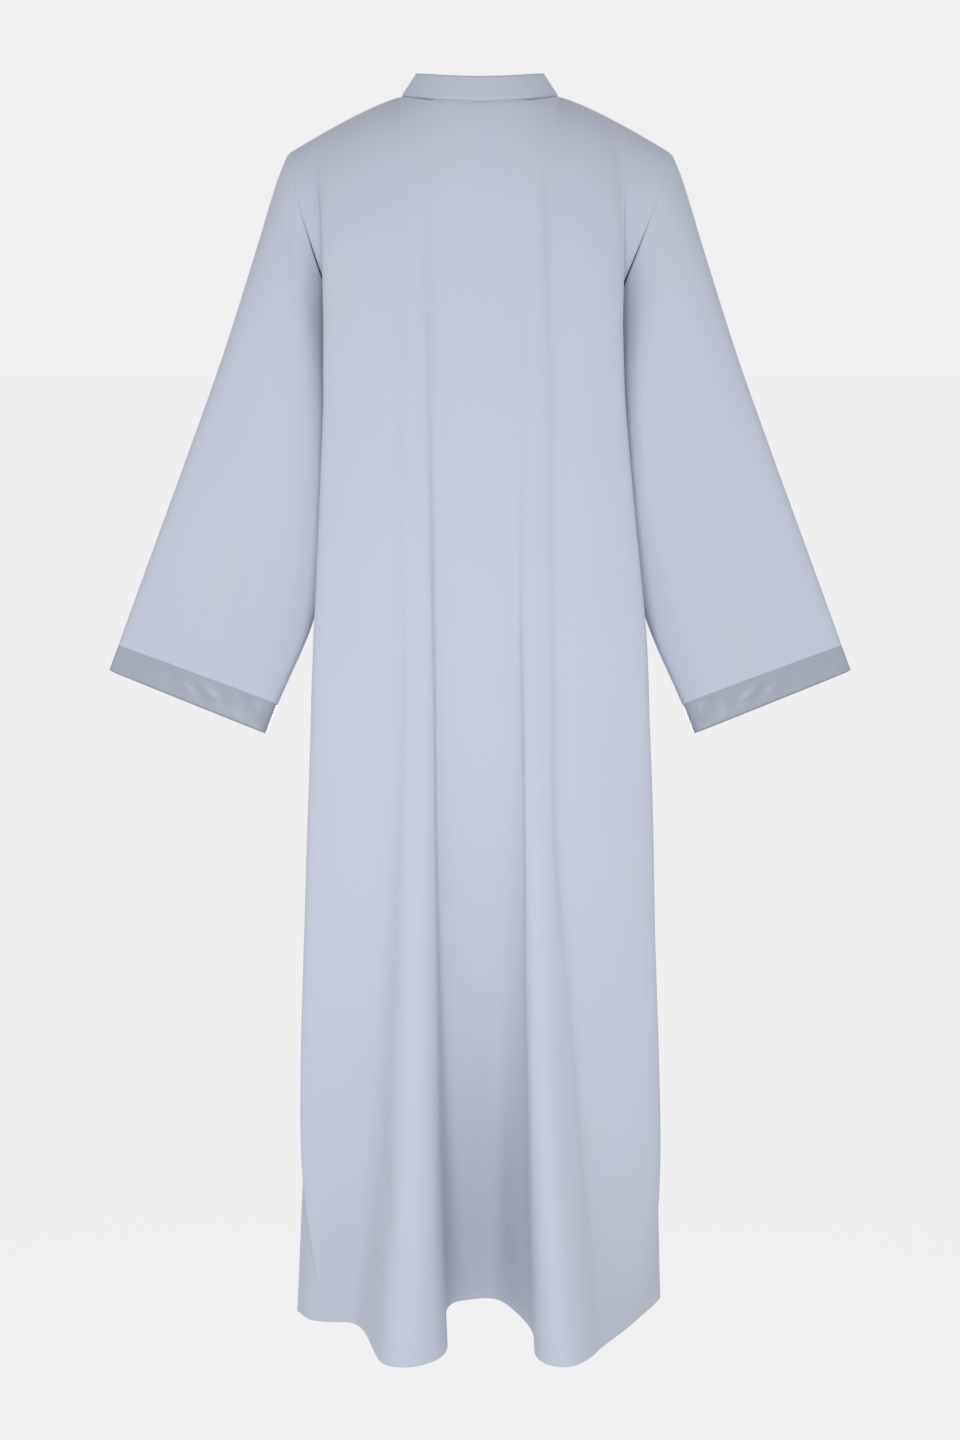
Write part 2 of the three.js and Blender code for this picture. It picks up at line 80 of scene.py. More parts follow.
# fold lines run down the cloth, from the wearer's left side seam to the right one: top is where
# each meets the shoulder seam or the neckline, then come its place and depth at the chest and
# at the hem
foldColumns = ("line", "top", "chest", "chestY", "hem", "hemY")
backFolds = (
    ("left side seam", -0.214, -0.155, 0, -0.2205, -0.038),
    ("left underarm", -0.205, -0.153, -0.034, -0.205, -0.064),
    ("left tuck", -0.192, -0.149, -0.066, -0.192, -0.070),
    ("left outer fold", -0.178, -0.181, -0.095, -0.174, -0.072),
    ("left panel", -0.146, -0.136, -0.107, -0.15, -0.072),
    ("left flute foot", -0.112, -0.106, -0.109, -0.136, -0.096),
    ("left flute wall", -0.088, -0.092, -0.110, -0.1235, -0.15),
    ("left flute crest", -0.077, -0.078, -0.115, -0.112, -0.192),
    ("left flute brow", -0.066, -0.066, -0.115, -0.072, -0.197),
    ("left flute edge", -0.056, -0.056, -0.112, -0.034, -0.16),
    ("left flute back", -0.045, -0.048, -0.108, -0.043, -0.085),
    ("valley left", -0.026, -0.034, -0.110, -0.04, -0.018),
    ("valley", -0.003, -0.006, -0.110, -0.01, -0.005),
    ("valley right", 0.019, 0.022, -0.110, 0.022, -0.001),
    ("right flute foot", 0.033, 0.035, -0.109, 0.046, -0.048),
    ("right flute wall", 0.044, 0.043, -0.110, 0.0655, -0.105),
    ("right flute brow", 0.055, 0.051, -0.114, 0.061, -0.17),
    ("right flute crest", 0.068, 0.061, -0.115, 0.086, -0.197),
    ("right flute side", 0.088, 0.074, -0.111, 0.116, -0.19),
    ("right slope", 0.107, 0.090, -0.107, 0.15, -0.128),
    ("right panel", 0.126, 0.120, -0.108, 0.174, -0.09),
    ("right outer fold", 0.146, 0.164, -0.090, 0.194, -0.052),
    ("right tuck", 0.172, 0.143, -0.068, 0.208, -0.027),
    ("right underarm", 0.199, 0.143, -0.034, 0.215, -0.012),
    ("right side seam", 0.214, 0.143, 0, 0.2205, 0),
)
frontFolds = (
    ("left side seam", -0.214, -0.155, 0, -0.2205, -0.038),
    ("left underarm", -0.205, -0.150, 0.030, -0.209, 0.004),
    ("left tuck", -0.192, -0.146, 0.062, -0.191, 0.042),
    ("left outer fold", -0.178, -0.164, 0.096, -0.168, 0.072),
    ("left panel", -0.146, -0.138, 0.110, -0.146, 0.084),
    ("left flute foot", -0.112, -0.115, 0.115, -0.132, 0.118),
    ("left flute wall", -0.088, -0.097, 0.117, -0.126, 0.172),
    ("left flute crest", -0.079, -0.081, 0.119, -0.096, 0.190),
    ("left flute brow", -0.068, -0.067, 0.119, -0.066, 0.176),
    ("left flute back", -0.052, -0.054, 0.117, -0.058, 0.110),
    ("left of the lap", -0.034, -0.040, 0.117, -0.044, 0.068),
    ("outer lap edge", -0.017, -0.020, 0.118, -0.022, 0.062),
    ("centre front", 0, 0, 0.118, 0, 0.064),
    ("under lap edge", 0.017, 0.018, 0.118, 0.022, 0.066),
    ("right of the lap", 0.031, 0.036, 0.117, 0.042, 0.076),
    ("right flute back", 0.045, 0.052, 0.117, 0.056, 0.126),
    ("right flute brow", 0.059, 0.066, 0.120, 0.071, 0.180),
    ("right flute crest", 0.074, 0.080, 0.119, 0.0985, 0.196),
    ("right flute side", 0.088, 0.094, 0.116, 0.123, 0.176),
    ("right slope", 0.107, 0.111, 0.115, 0.143, 0.128),
    ("right panel", 0.126, 0.132, 0.109, 0.165, 0.092),
    ("right outer fold", 0.146, 0.157, 0.095, 0.187, 0.066),
    ("right tuck", 0.172, 0.142, 0.062, 0.203, 0.042),
    ("right underarm", 0.199, 0.141, 0.030, 0.214, 0.020),
    ("right side seam", 0.214, 0.143, 0, 0.2205, 0),
)
lastLine = len(backFolds) - 1
middleLine = lastLine / 2
leftNeckLine, rightNeckLine = 6, 18  # the lines that end at the neck ends of the shoulder seams
sideLines = 3  # the first lines from each side seam go by the side, not by the outer fold
edgeLines = 4  # these and the outer fold go by the outline
foldGrowth = 3  # the folds deepen as this power of the way down from the underarm
foldDrift = 3.5  # and move sideways as this power
edgeDrift = 7  # the lines that go by the outline move later, as this power
chestHold = 3  # above the underarm a line leaves its place at the chest as this power of the rise
seamPull = 1.2  # and the armhole seam draws the lines by it over as this power of their nearness
armholeCurve = {"left": 0.85, "right": 1.0}  # the armhole seam moves out as this power of its rise
armholeSquareness = 2.6  # how square it turns at the underarm and the shoulder, 1 is round


def named(columns, rows):
    return [dict(zip(columns, row)) for row in rows]


outline = named(outlineColumns, outline)
backSheet = {
    "folds": named(foldColumns, backFolds),
    "side": -1,
    "neckReach": 0.074,  # how far the neckline swings out, and how far it dips
    "neckDrop": 0.008,
    "bow": 0.068,  # how far back the armhole seam bows
}
frontSheet = {
    "folds": named(foldColumns, frontFolds),
    "side": 1,
    "neckReach": 0.088,
    "neckDrop": 0.078,
    "bow": 0.056,
}


def clamp01(x):
    return np.clip(x, 0, 1)


def mix(a, b, share):
    return a + (b - a) * share


def softStep(x):
    x = clamp01(x)
    return x * x * (3 - 2 * x)


# one column of a table at places along its key column, on a smooth curve through its rows
def readColumn(table, key, column, at):
    at = np.asarray(at, float)
    keys = np.array([row[key] for row in table], float)
    values = np.array([row[column] for row in table], float)
    slopes = np.gradient(values, np.arange(len(keys))) / np.gradient(keys, np.arange(len(keys)))
    at = np.clip(at, keys[0], keys[-1])
    i = np.clip(np.searchsorted(keys, at) - 1, 0, len(keys) - 2)
    span = keys[i + 1] - keys[i]
    t = (at - keys[i]) / span
    bend = slopes[i] * span * t * (1 - t) ** 2 - slopes[i + 1] * span * t * t * (1 - t)
    return mix(values[i], values[i + 1], t * t * (3 - 2 * t)) + bend


# points on the smooth curve that a row of control points pulls, a quadratic B-spline
def pulled(controls, at):
    padded = np.vstack([2 * controls[0] - controls[1], controls, 2 * controls[-1] - controls[-2]])
    at = np.asarray(at, float)
    k = np.minimum(np.floor(at + 0.5).astype(int), len(controls) - 1)
    t = (at - k)[:, None]
    before, after = 0.5 * (0.5 - t) ** 2, 0.5 * (0.5 + t) ** 2
    return padded[k] * before + padded[k + 1] * (0.75 - t * t) + padded[k + 2] * after


# the horizontal section of a sheet, as control points
def sectionControls(sheet, down):
    underarm, hem = garment["underarmDown"], garment["length"]
    way = float(clamp01((down - underarm) / (hem - underarm)))
    controls = []
    for k, fold in enumerate(sheet["folds"]):
        fromEdge = min(k, lastLine - k)
        side = "left" if k < middleLine else "right"
        if fromEdge < edgeLines:
            column = "side" + side.capitalize() if fromEdge < sideLines else side
            half, halfChest, halfHem = readColumn(outline, "down", column, (down, underarm, hem))
            x = mix(fold["chest"] * half / halfChest, fold["hem"] * half / halfHem, way**edgeDrift)
        else:
            x = mix(fold["chest"], fold["hem"], way**foldDrift)
        controls.append((x, mix(fold["chestY"], fold["hemY"], way**foldGrowth), -down))
    return np.array(controls)


# where places across a sheet meet the shoulder seams and the neckline
def topPoints(sheet, at):
    x = np.interp(at, np.arange(lastLine + 1), [fold["top"] for fold in sheet["folds"]])
    neck = garment["neckHalfWidth"]
    outward = clamp01((abs(x) - neck) / (garment["shoulderHalfWidth"] - neck))
    inward = clamp01(1 - (x / neck) ** 2)
    y = sheet["side"] * sheet["neckReach"] * np.sqrt(inward)
    z = -garment["shoulderDrop"] * outward ** garment["shoulderBow"] - sheet["neckDrop"] * inward
    return np.stack([x, y, z], axis=-1)


# the armhole seam, from the underarm at rise 0 to the shoulder tip at rise 1
def armholePoints(sheet, hand, rise):
    side = "left" if hand < 0 else "right"
    out = clamp01(rise) ** armholeCurve[side]
    x = hand * mix(garment["underarmHalfWidth"][side], garment["shoulderHalfWidth"], out)
    y = sheet["side"] * sheet["bow"] * abs(np.sin(math.pi * clamp01(rise))) ** (1 / armholeSquareness)
    z = -mix(garment["underarmDown"], garment["shoulderDrop"], rise)
    return np.stack(np.broadcast_arrays(x, y, z), axis=-1)


# how far a step of the turn over the shoulder has risen
def riseAt(step):
    turned = np.sin(np.minimum(step, 1) * math.pi / 2)
    return np.where(step >= 1, 1.0, turned ** (2 / garment["shoulderSquareness"]))


# the share of the chest's depth left at a step of the turn, on lines that meet the top at x
def depthAt(step, x):
    turned = 0.0 if step >= 1 else math.cos(step * math.pi / 2) ** (2 / garment["shoulderSquareness"])
    leant = 1 - riseAt(step) ** garment["neckLeanPower"]
    return mix(leant, turned, softStep(abs(x) / garment["leanWidth"]))


# a row above the underarm, whose outer points are drawn over to the armhole seam
def upperRow(sheet, at, step):
    rise = riseAt(step)
    chestControls = sectionControls(sheet, garment["underarmDown"])

    def hung(places):
        chest, top = pulled(chestControls, places), topPoints(sheet, places)
        x = mix(chest[:, 0], top[:, 0], rise**chestHold)
        inward = clamp01(1 - (top[:, 0] / garment["leanWidth"]) ** 2) ** 2
        lean = mix(sheet["side"] * sheet["neckReach"] * inward, top[:, 1], rise**garment["neckSharpness"])
        y = mix(lean, chest[:, 1], depthAt(step, top[:, 0]))
        return np.stack([x, y, mix(chest[:, 2], top[:, 2], rise)], axis=-1)

    points = hung(at)
    for hand, edge in ((-1, 0), (1, lastLine)):
        pull = clamp01(1 - abs(at - edge) / sideLines) ** seamPull
        gap = armholePoints(sheet, hand, rise) - hung(np.array([float(edge)]))[0]
        points = points + pull[:, None] * gap
    return points


# places along a length, closer together towards both ends, where the seams roll in
def closingIn(start, end, count, edgeShares=(0.12, 0.3, 0.6)):
    even = np.linspace(start, end, count + 1)
    first, last = even[1] - even[0], even[-1] - even[-2]
    extra = [start + share * first for share in edgeShares] + [end - share * last for share in edgeShares]
    return np.sort(np.concatenate([even, extra]))


sheetFineness = {"columnsPerLine": 8, "rowsBelow": 130, "rowsAbove": 64}


# rows of points up a sheet, from the hem to the shoulders, between two fold lines
def sheetGrid(sheet, fromLine, toLine):
    at = closingIn(fromLine, toLine, int((toLine - fromLine) * sheetFineness["columnsPerLine"]))
    downs = closingIn(garment["length"], garment["underarmDown"], sheetFineness["rowsBelow"])[::-1]
    steps = closingIn(0, 1, sheetFineness["rowsAbove"])
    below = [pulled(sectionControls(sheet, down), at) for down in downs]
    above = [upperRow(sheet, at, step) for step in steps[1:]]
    return np.array(below + above), at


# outward normals of a grid, whose rows go round when ring is true
def gridNormals(grid, facing, ring=False):
    if ring:
        across = np.roll(grid, -1, axis=1) - np.roll(grid, 1, axis=1)
    else:
        across = np.gradient(grid, axis=1)
    normals = np.cross(across, np.gradient(grid, axis=0)) * facing
    return normals / np.maximum(np.linalg.norm(normals, axis=-1, keepdims=True), 1e-12)


# distances over the cloth: across from the column nearest the middle, and up from the first row
def clothCoordinates(grid, middle, ring=False):
    across = np.linalg.norm(np.diff(grid, axis=1, append=grid[:, :1] if ring else grid[:, -1:]), axis=-1)
    u = np.concatenate([np.zeros((len(grid), 1)), np.cumsum(across, axis=1)], axis=1)
    u = u - u[:, middle][:, None]
    up = np.linalg.norm(np.diff(grid, axis=0), axis=-1)
    v = np.concatenate([np.zeros((1, grid.shape[1])), np.cumsum(up, axis=0)])
    if ring:
        v = np.concatenate([v, v[:, :1]], axis=1)
    else:
        u = u[:, :-1]
    return np.stack([u, v], axis=-1)


# how far each point lies, over the cloth, from an edge of the grid
def edgeDistance(grid, edge):
    if edge in ("top", "bottom"):
        steps = np.linalg.norm(np.diff(grid, axis=0), axis=-1)
        fromBottom = np.concatenate([np.zeros((1, grid.shape[1])), np.cumsum(steps, axis=0)])
        return fromBottom if edge == "bottom" else fromBottom[-1] - fromBottom
    steps = np.linalg.norm(np.diff(grid, axis=1), axis=-1)
    fromFirst = np.concatenate([np.zeros((len(grid), 1)), np.cumsum(steps, axis=1)], axis=1)
    return fromFirst if edge == "first" else fromFirst[:, -1:] - fromFirst


# soft troughs and ridges laid on the cloth: each runs from one place to another, in
# metres across and up the cloth, and rises by height over its width
creaseColumns = ("fromAcross", "fromUp", "toAcross", "toUp", "width", "height", "bow")
creaseFade = 0.8  # a crease dies away at its ends as this power of a half wave


def creaseHeights(coordinates, creases):
    heights = np.zeros(coordinates.shape[:2])
    for crease in named(creaseColumns, creases):
        start = np.array([crease["fromAcross"], crease["fromUp"]])
        run = np.array([crease["toAcross"], crease["toUp"]]) - start
        length = np.linalg.norm(run)
        along = ((coordinates - start) @ run) / length**2
        aside = ((coordinates - start) @ np.array([-run[1], run[0]])) / length
        aside = aside - crease["bow"] * np.sin(math.pi * clamp01(along))
        fade = np.sin(math.pi * clamp01(along)) ** creaseFade
        heights += crease["height"] * np.exp(-((aside / crease["width"]) ** 2)) * fade
    return heights


# long creases that hang down a sheet, where the cloth steps over a short edge from one height
# to another and sinks back over a width of its own on either side
hangingColumns = ("down", "x", "left", "right")


def hangingHeights(grid, creases):
    heights = np.zeros(grid.shape[:2])
    for crease in creases:
        rows = named(hangingColumns, crease["rows"])
        x, left, right = (readColumn(rows, "down", column, -grid[..., 2]) for column in hangingColumns[1:])
        aside = grid[..., 0] - x
        onLeft = left * np.exp(-((np.minimum(aside, 0) / crease["leftWidth"]) ** 2))
        onRight = right * np.exp(-((np.maximum(aside, 0) / crease["rightWidth"]) ** 2))
        heights += mix(onLeft, onRight, softStep(aside / crease["edge"] + 0.5))
    return heights


# a mesh from a grid, with its distances over the cloth as its UV map
def makeSheet(name, grid, coordinates, facing, ring=False):
    rows, columns = grid.shape[:2]
    wide = columns if ring else columns - 1
    r, c = np.meshgrid(np.arange(rows - 1), np.arange(wide), indexing="ij")
    nextC = (c + 1) % columns
    low, high = r * columns, (r + 1) * columns
    corners = np.stack([low + c, low + nextC, high + nextC, high + c], axis=-1)
    cornerSteps = ((0, 0), (0, 1), (1, 1), (1, 0))
    places = np.stack([coordinates[r + up, c + over] for up, over in cornerSteps], axis=2)
    if facing < 0:
        corners, places = corners[..., ::-1], places[:, :, ::-1]
    mesh = bpy.data.meshes.new(name)
    mesh.from_pydata(grid.reshape(-1, 3).tolist(), [], corners.reshape(-1, 4).tolist())
    layer = mesh.uv_layers.new(name="cloth")
    layer.data.foreach_set("uv", places.reshape(-1).astype(np.float32))
    mesh.validate()
    mesh.shade_smooth()
    piece = bpy.data.objects.new(name, mesh)
    bpy.context.scene.collection.objects.link(piece)
    return piece


# gives a sheet its thickness, inwards
def thicken(piece, thickness):
    for other in bpy.context.selected_objects:
        other.select_set(False)
    piece.select_set(True)
    bpy.context.view_layer.objects.active = piece
    wall = piece.modifiers.new("cloth", "SOLIDIFY")
    wall.thickness = thickness
    wall.offset = -1
    wall.use_quality_normals = True
    bpy.ops.object.modifier_apply(modifier=wall.name)
    piece.data.shade_smooth()
    return piece


seam = {"depth": 0.0011, "width": 0.0022}


# presses the cloth in along its sewn edges, and lays its creases on it
def finishedGrid(grid, facing, coordinates, sewnEdges, creases, hanging=(), ring=False):
    heights = creaseHeights(coordinates[:, : grid.shape[1]], creases) + hangingHeights(grid, hanging)
    for edge in sewnEdges:
        heights -= seam["depth"] * np.exp(-((edgeDistance(grid, edge) / seam["width"]) ** 2))
    return grid + gridNormals(grid, facing, ring) * heights[..., None]


print("abaya: back")

back = {
    "sewnEdges": ("top", "first", "last"),
    "creases": (
        (-0.060, 1.356, -0.172, 1.262, 0.014, -0.0009, -0.010),  # from the shoulders to the armholes
        (-0.112, 1.330, -0.176, 1.220, 0.010, 0.0008, -0.006),
        (0.070, 1.352, 0.158, 1.250, 0.014, -0.0009, 0.010),
        (0.118, 1.318, 0.160, 1.205, 0.010, 0.0008, 0.006),
        (-0.178, 1.120, -0.150, 0.960, 0.012, -0.0010, 0.004),
        (0.176, 0.800, 0.186, 0.640, 0.012, -0.0016, 0.003),  # hip
        (-0.196, 0.760, -0.180, 0.560, 0.014, -0.0010, -0.003),
        (-0.185, 0.300, -0.205, 0.030, 0.012, -0.0012, 0.002),
    ),
    "hanging": (
        {"edge": 0.009, "leftWidth": 0.016, "rightWidth": 0.022, "rows": (  # edge of the left flute
            (0.080, -0.0612, 0, 0),
            (0.167, -0.0591, 0.0003, -0.0006),
            (0.301, -0.0564, 0.0006, -0.0009),
            (0.437, -0.0536, 0.0010, -0.0013),
            (0.560, -0.0518, 0.0018, -0.0022),
            (0.633, -0.0509, 0.0024, -0.0028),
            (0.832, -0.0493, 0.0024, -0.0030),
            (1.004, -0.0462, 0.0020, -0.0026),
            (1.144, -0.0431, 0.0008, -0.0014),
            (1.260, -0.0405, 0, 0),
        )},
        {"edge": 0.010, "leftWidth": 0.014, "rightWidth": 0.018, "rows": (  # right flute's slope
            (0.060, 0.0700, 0, 0),
            (0.092, 0.0702, 0.0003, -0.0008),
            (0.140, 0.0704, 0.0005, -0.0011),
            (0.220, 0.0738, 0.0006, -0.0014),
            (0.328, 0.0765, 0.0005, -0.0010),
            (0.493, 0.0785, 0.0006, -0.0012),
            (0.661, 0.0817, 0.0008, -0.0015),
            (0.832, 0.0847, 0.0008, -0.0015),
            (1.006, 0.1010, 0.0008, -0.0018),
            (1.147, 0.1130, 0.0008, -0.0020),
            (1.244, 0.1210, 0.0007, -0.0018),
            (1.342, 0.1290, 0.0005, -0.0014),
            (1.420, 0.1350, 0.0004, -0.0010),
        )},
        {"edge": 0.006, "leftWidth": 0.022, "rightWidth": 0.012, "rows": (  # edge of the right flute
            (0.400, 0.0415, 0, 0),
            (0.493, 0.0430, -0.0006, 0.0002),
            (0.661, 0.0468, -0.0018, 0.0006),
            (0.832, 0.0498, -0.0024, 0.0010),
            (1.004, 0.0512, -0.0020, 0.0008),
            (1.140, 0.0545, -0.0010, 0.0004),
            (1.240, 0.0570, 0, 0),
        )},
        {"edge": 0.014, "leftWidth": 0.020, "rightWidth": 0.010, "rows": (  # foot of the left flute
            (0.120, -0.0815, 0, 0),
            (0.200, -0.0829, -0.0006, 0.0002),
            (0.410, -0.0870, -0.0006, 0.0003),
            (0.661, -0.0845, -0.0010, 0.0005),
            (0.832, -0.0921, -0.0012, 0.0006),
            (1.007, -0.0988, -0.0012, 0.0006),
            (1.151, -0.1055, -0.0008, 0.0004),
            (1.280, -0.1120, 0, 0),
        )},
    ),
}
grid, at = sheetGrid(backSheet, 0, lastLine)
coordinates = clothCoordinates(grid, len(at) // 2)
shaped = finishedGrid(grid, 1, coordinates, back["sewnEdges"], back["creases"], back["hanging"])
backPiece = thicken(makeSheet("backPanel", shaped, coordinates, 1), garment["clothThickness"])

print("abaya: fronts")

front = {
    "underLapLine": 13,  # the left front ends here, under the right one
    "overLapLine": 11,  # and the right front here
    "lapFadeLine": 15,  # past this line the right front is no longer lifted over the left
    "lapLift": 0.0023,
    "sewnEdges": {"left": ("top", "first"), "right": ("top", "last")},
    "creases": {
        "left": (
            (-0.074, 1.346, -0.160, 1.250, 0.014, -0.0009, -0.010),
            (-0.168, 1.130, -0.148, 0.980, 0.012, -0.0009, 0.004),
            (-0.186, 0.720, -0.178, 0.540, 0.013, -0.0010, -0.003),
        ),
        "right": (
            (0.080, 1.342, 0.156, 1.236, 0.014, -0.0009, 0.010),
            (0.164, 1.060, 0.176, 0.900, 0.012, -0.0009, -0.004),
            (0.190, 0.600, 0.200, 0.400, 0.013, -0.0010, 0.003),
        ),
    },
    "hanging": {
        "left": (
            {"edge": 0.010, "leftWidth": 0.018, "rightWidth": 0.020, "rows": (
                (0.110, -0.0640, 0, 0),
                (0.240, -0.0610, 0.0006, -0.0010),
                (0.450, -0.0600, 0.0010, -0.0014),
                (0.700, -0.0590, 0.0020, -0.0024),
                (0.950, -0.0570, 0.0018, -0.0024),
                (1.180, -0.0540, 0.0008, -0.0010),
                (1.320, -0.0530, 0, 0),
            )},
            {"edge": 0.012, "leftWidth": 0.018, "rightWidth": 0.014, "rows": (
                (0.200, -0.1060, 0, 0),
                (0.380, -0.1070, -0.0010, 0.0005),
                (0.700, -0.1120, -0.0014, 0.0006),
                (1.000, -0.1200, -0.0012, 0.0005),
                (1.300, -0.1300, -0.0004, 0),
            )},
        ),
        "right": (
            {"edge": 0.010, "leftWidth": 0.020, "rightWidth": 0.016, "rows": (
                (0.120, 0.0560, 0, 0),
                (0.260, 0.0570, -0.0009, 0.0005),
                (0.500, 0.0590, -0.0014, 0.0010),
                (0.800, 0.0600, -0.0026, 0.0018),
                (1.080, 0.0640, -0.0014, 0.0008),
                (1.260, 0.0660, 0, 0),
            )},
            {"edge": 0.011, "leftWidth": 0.015, "rightWidth": 0.018, "rows": (
                (0.160, 0.0960, 0, 0),
                (0.300, 0.0990, 0.0005, -0.0012),
                (0.600, 0.1040, 0.0006, -0.0012),
                (0.900, 0.1120, 0.0009, -0.0018),
                (1.200, 0.1260, 0.0007, -0.0014),
                (1.400, 0.1340, 0.0003, -0.0006),
            )},
        ),
    },
}
frontPieces = {}
frontLines = {"left": (0, front["underLapLine"]), "right": (front["overLapLine"], lastLine)}
for side, lines in frontLines.items():
    grid, at = sheetGrid(frontSheet, *lines)
    if side == "right":
        share = softStep((front["lapFadeLine"] - at) / (front["lapFadeLine"] - front["underLapLine"]))
        grid = grid + gridNormals(grid, -1) * (front["lapLift"] * share)[None, :, None]
    coordinates = clothCoordinates(grid, int(np.argmin(abs(at - middleLine))))
    sewn, creases, hanging = (front[part][side] for part in ("sewnEdges", "creases", "hanging"))
    shaped = finishedGrid(grid, -1, coordinates, sewn, creases, hanging)
    piece = makeSheet("frontPanel." + side, shaped, coordinates, -1)
    frontPieces[side] = thicken(piece, garment["clothThickness"])

print("abaya: sleeves and cuffs")

sleeve = {
    "headFade": 0.6,  # how far along the armhole's own shape is still felt
    "rings": 110,
    "columnsPerSide": 44,
    "innerTurn": 0.15,  # how gently the tube turns at its inner edge, 0 is square
    "outerTurn": 0.22,
    "clusterFade": 0.2,  # by here along, the columns close in on both edges
    "cuffEnd": 1.06,
    "cuffRings": 40,
    "hanging": {
        "left": (
            {"edge": 0.004, "leftWidth": 0.006, "rightWidth": 0.009, "rows": (  # short fold at the head
                (0.105, -0.2150, 0, 0),
                (0.135, -0.2125, 0.0004, -0.0010),
                (0.170, -0.2100, 0.0004, -0.0010),
                (0.205, -0.2075, 0, 0),
            )},
            {"edge": 0.016, "leftWidth": 0.026, "rightWidth": 0.020, "rows": (
                (0.200, -0.2150, 0, 0),
                (0.330, -0.2330, 0.0010, -0.0006),
                (0.470, -0.2560, 0.0014, -0.0010),
                (0.600, -0.2840, 0.0010, -0.0008),
                (0.690, -0.3050, 0, 0),
            )},
        ),
        "right": (
            {"edge": 0.014, "leftWidth": 0.018, "rightWidth": 0.024, "rows": (
                (0.180, 0.2200, 0, 0),
                (0.300, 0.2430, -0.0010, 0.0007),
                (0.440, 0.2740, -0.0014, 0.0010),
                (0.570, 0.3060, -0.0010, 0.0008),
                (0.660, 0.3280, 0, 0),
            )},
            {"edge": 0.010, "leftWidth": 0.012, "rightWidth": 0.016, "rows": (
                (0.260, 0.1780, 0, 0),
                (0.340, 0.1830, 0.0008, -0.0008),
                (0.450, 0.1920, 0.0008, -0.0008),
                (0.540, 0.2020, 0, 0),
            )},
        ),
    },
    # puckers round the cuffs, from its back round its inner edge to the front
    "cuffCreases": (
        (-0.078, 0.004, -0.070, 0.030, 0.0040, -0.0012, 0.001),
        (-0.030, 0.003, -0.024, 0.031, 0.0030, -0.0014, -0.001),
        (-0.010, 0.004, -0.004, 0.026, 0.0026, 0.0017, 0.002),
        (-0.002, 0.012, 0.016, 0.030, 0.0028, -0.0015, -0.002),
        (0.012, 0.006, 0.032, 0.022, 0.0034, 0.0017, 0.003),
        (0.034, 0.008, 0.046, 0.031, 0.0036, -0.0010, 0.001),
        (0.066, 0.003, 0.063, 0.031, 0.0030, -0.0019, 0.001),
        (0.078, 0.006, 0.084, 0.028, 0.0034, 0.0012, -0.001),
        (0.132, 0.004, 0.140, 0.030, 0.0036, -0.0014, 0.001),
        (0.168, 0.006, 0.186, 0.024, 0.0034, 0.0015, 0.002),
        (0.190, 0.010, 0.202, 0.030, 0.0028, -0.0015, -0.001),
        (0.236, 0.004, 0.230, 0.031, 0.0032, -0.0017, 0.001),
        (0.262, 0.006, 0.270, 0.026, 0.0036, 0.0012, 0.001),
    ),
}
# sections of the sleeves: the outer edge, how far out the inner edge lies on each side, how far the
# section swells and lies forward, and how far its back is lifted over its front
stationColumns = (
    "along", "outer", "outerDown", "left", "right", "innerDown", "depth", "forward", "lift",
)
sleeveStations = named(stationColumns, (
    (0, 0.214, 0.062, 0.155, 0.143, 0.245, 0.062, -0.006, 0),
    (0.05, 0.2255, 0.091, 0.157, 0.145, 0.266, 0.058, -0.013, 0),
    (0.2, 0.2505, 0.174, 0.161, 0.150, 0.330, 0.046, -0.034, 0.001),
    (0.4, 0.2875, 0.286, 0.165, 0.158, 0.425, 0.037, -0.042, 0.002),
    (0.6, 0.3295, 0.397, 0.173, 0.170, 0.508, 0.030, -0.040, 0.003),
    (0.8, 0.3735, 0.508, 0.193, 0.193, 0.590, 0.024, -0.028, 0.004),
    (1, 0.4165, 0.616, 0.235, 0.235, 0.685, 0.018, -0.011, 0.005),
    (1.06, 0.428, 0.645, 0.2485, 0.2485, 0.719, 0.018, -0.008, 0.005),
))


# the share of the tube's depth at a place across it, quick to fill at the inner edge
def fullness(rise):
    rise = clamp01(rise)
    inner, outer = sleeve["innerTurn"], sleeve["outerTurn"]
    fullest = inner / (inner + outer)
    return (rise / fullest) ** inner * ((1 - rise) / (1 - fullest)) ** outer


# points round a sleeve at one place along it: rise runs from its inner edge to its outer one
def sleevePoints(sheet, hand, along, rise):
    def station(column, at):
        return float(readColumn(sleeveStations, "along", column, at))

    swell = sheet["side"] * fullness(rise)

    def lens(at):
        x = hand * mix(station("left" if hand < 0 else "right", at), station("outer", at), rise)
        y = station("forward", at) + station("depth", at) * swell
        z = -mix(station("innerDown", at), station("outerDown", at), rise) - station("lift", at) * swell
        return np.stack([x, y, z], axis=-1)

    fade = float(clamp01(1 - along / sleeve["headFade"])) ** 2
    return lens(along) + fade * (armholePoints(sheet, hand, rise) - lens(0.0))


# rings of a sleeve, each from the shoulder tip down the back and up the front
def sleeveGrid(hand, alongs):
    steps = np.linspace(0, 1, sleeve["columnsPerSide"] + 1)
    rings = []
    clustered = 0.5 - 0.5 * np.cos(math.pi * steps)
    for along in alongs:
        rises = mix(riseAt(steps), clustered, clamp01(along / sleeve["clusterFade"]))
        behind = sleevePoints(backSheet, hand, along, rises[::-1])
        before = sleevePoints(frontSheet, hand, along, rises[1:-1])
        rings.append(np.vstack([behind, before]))
    return np.array(rings)


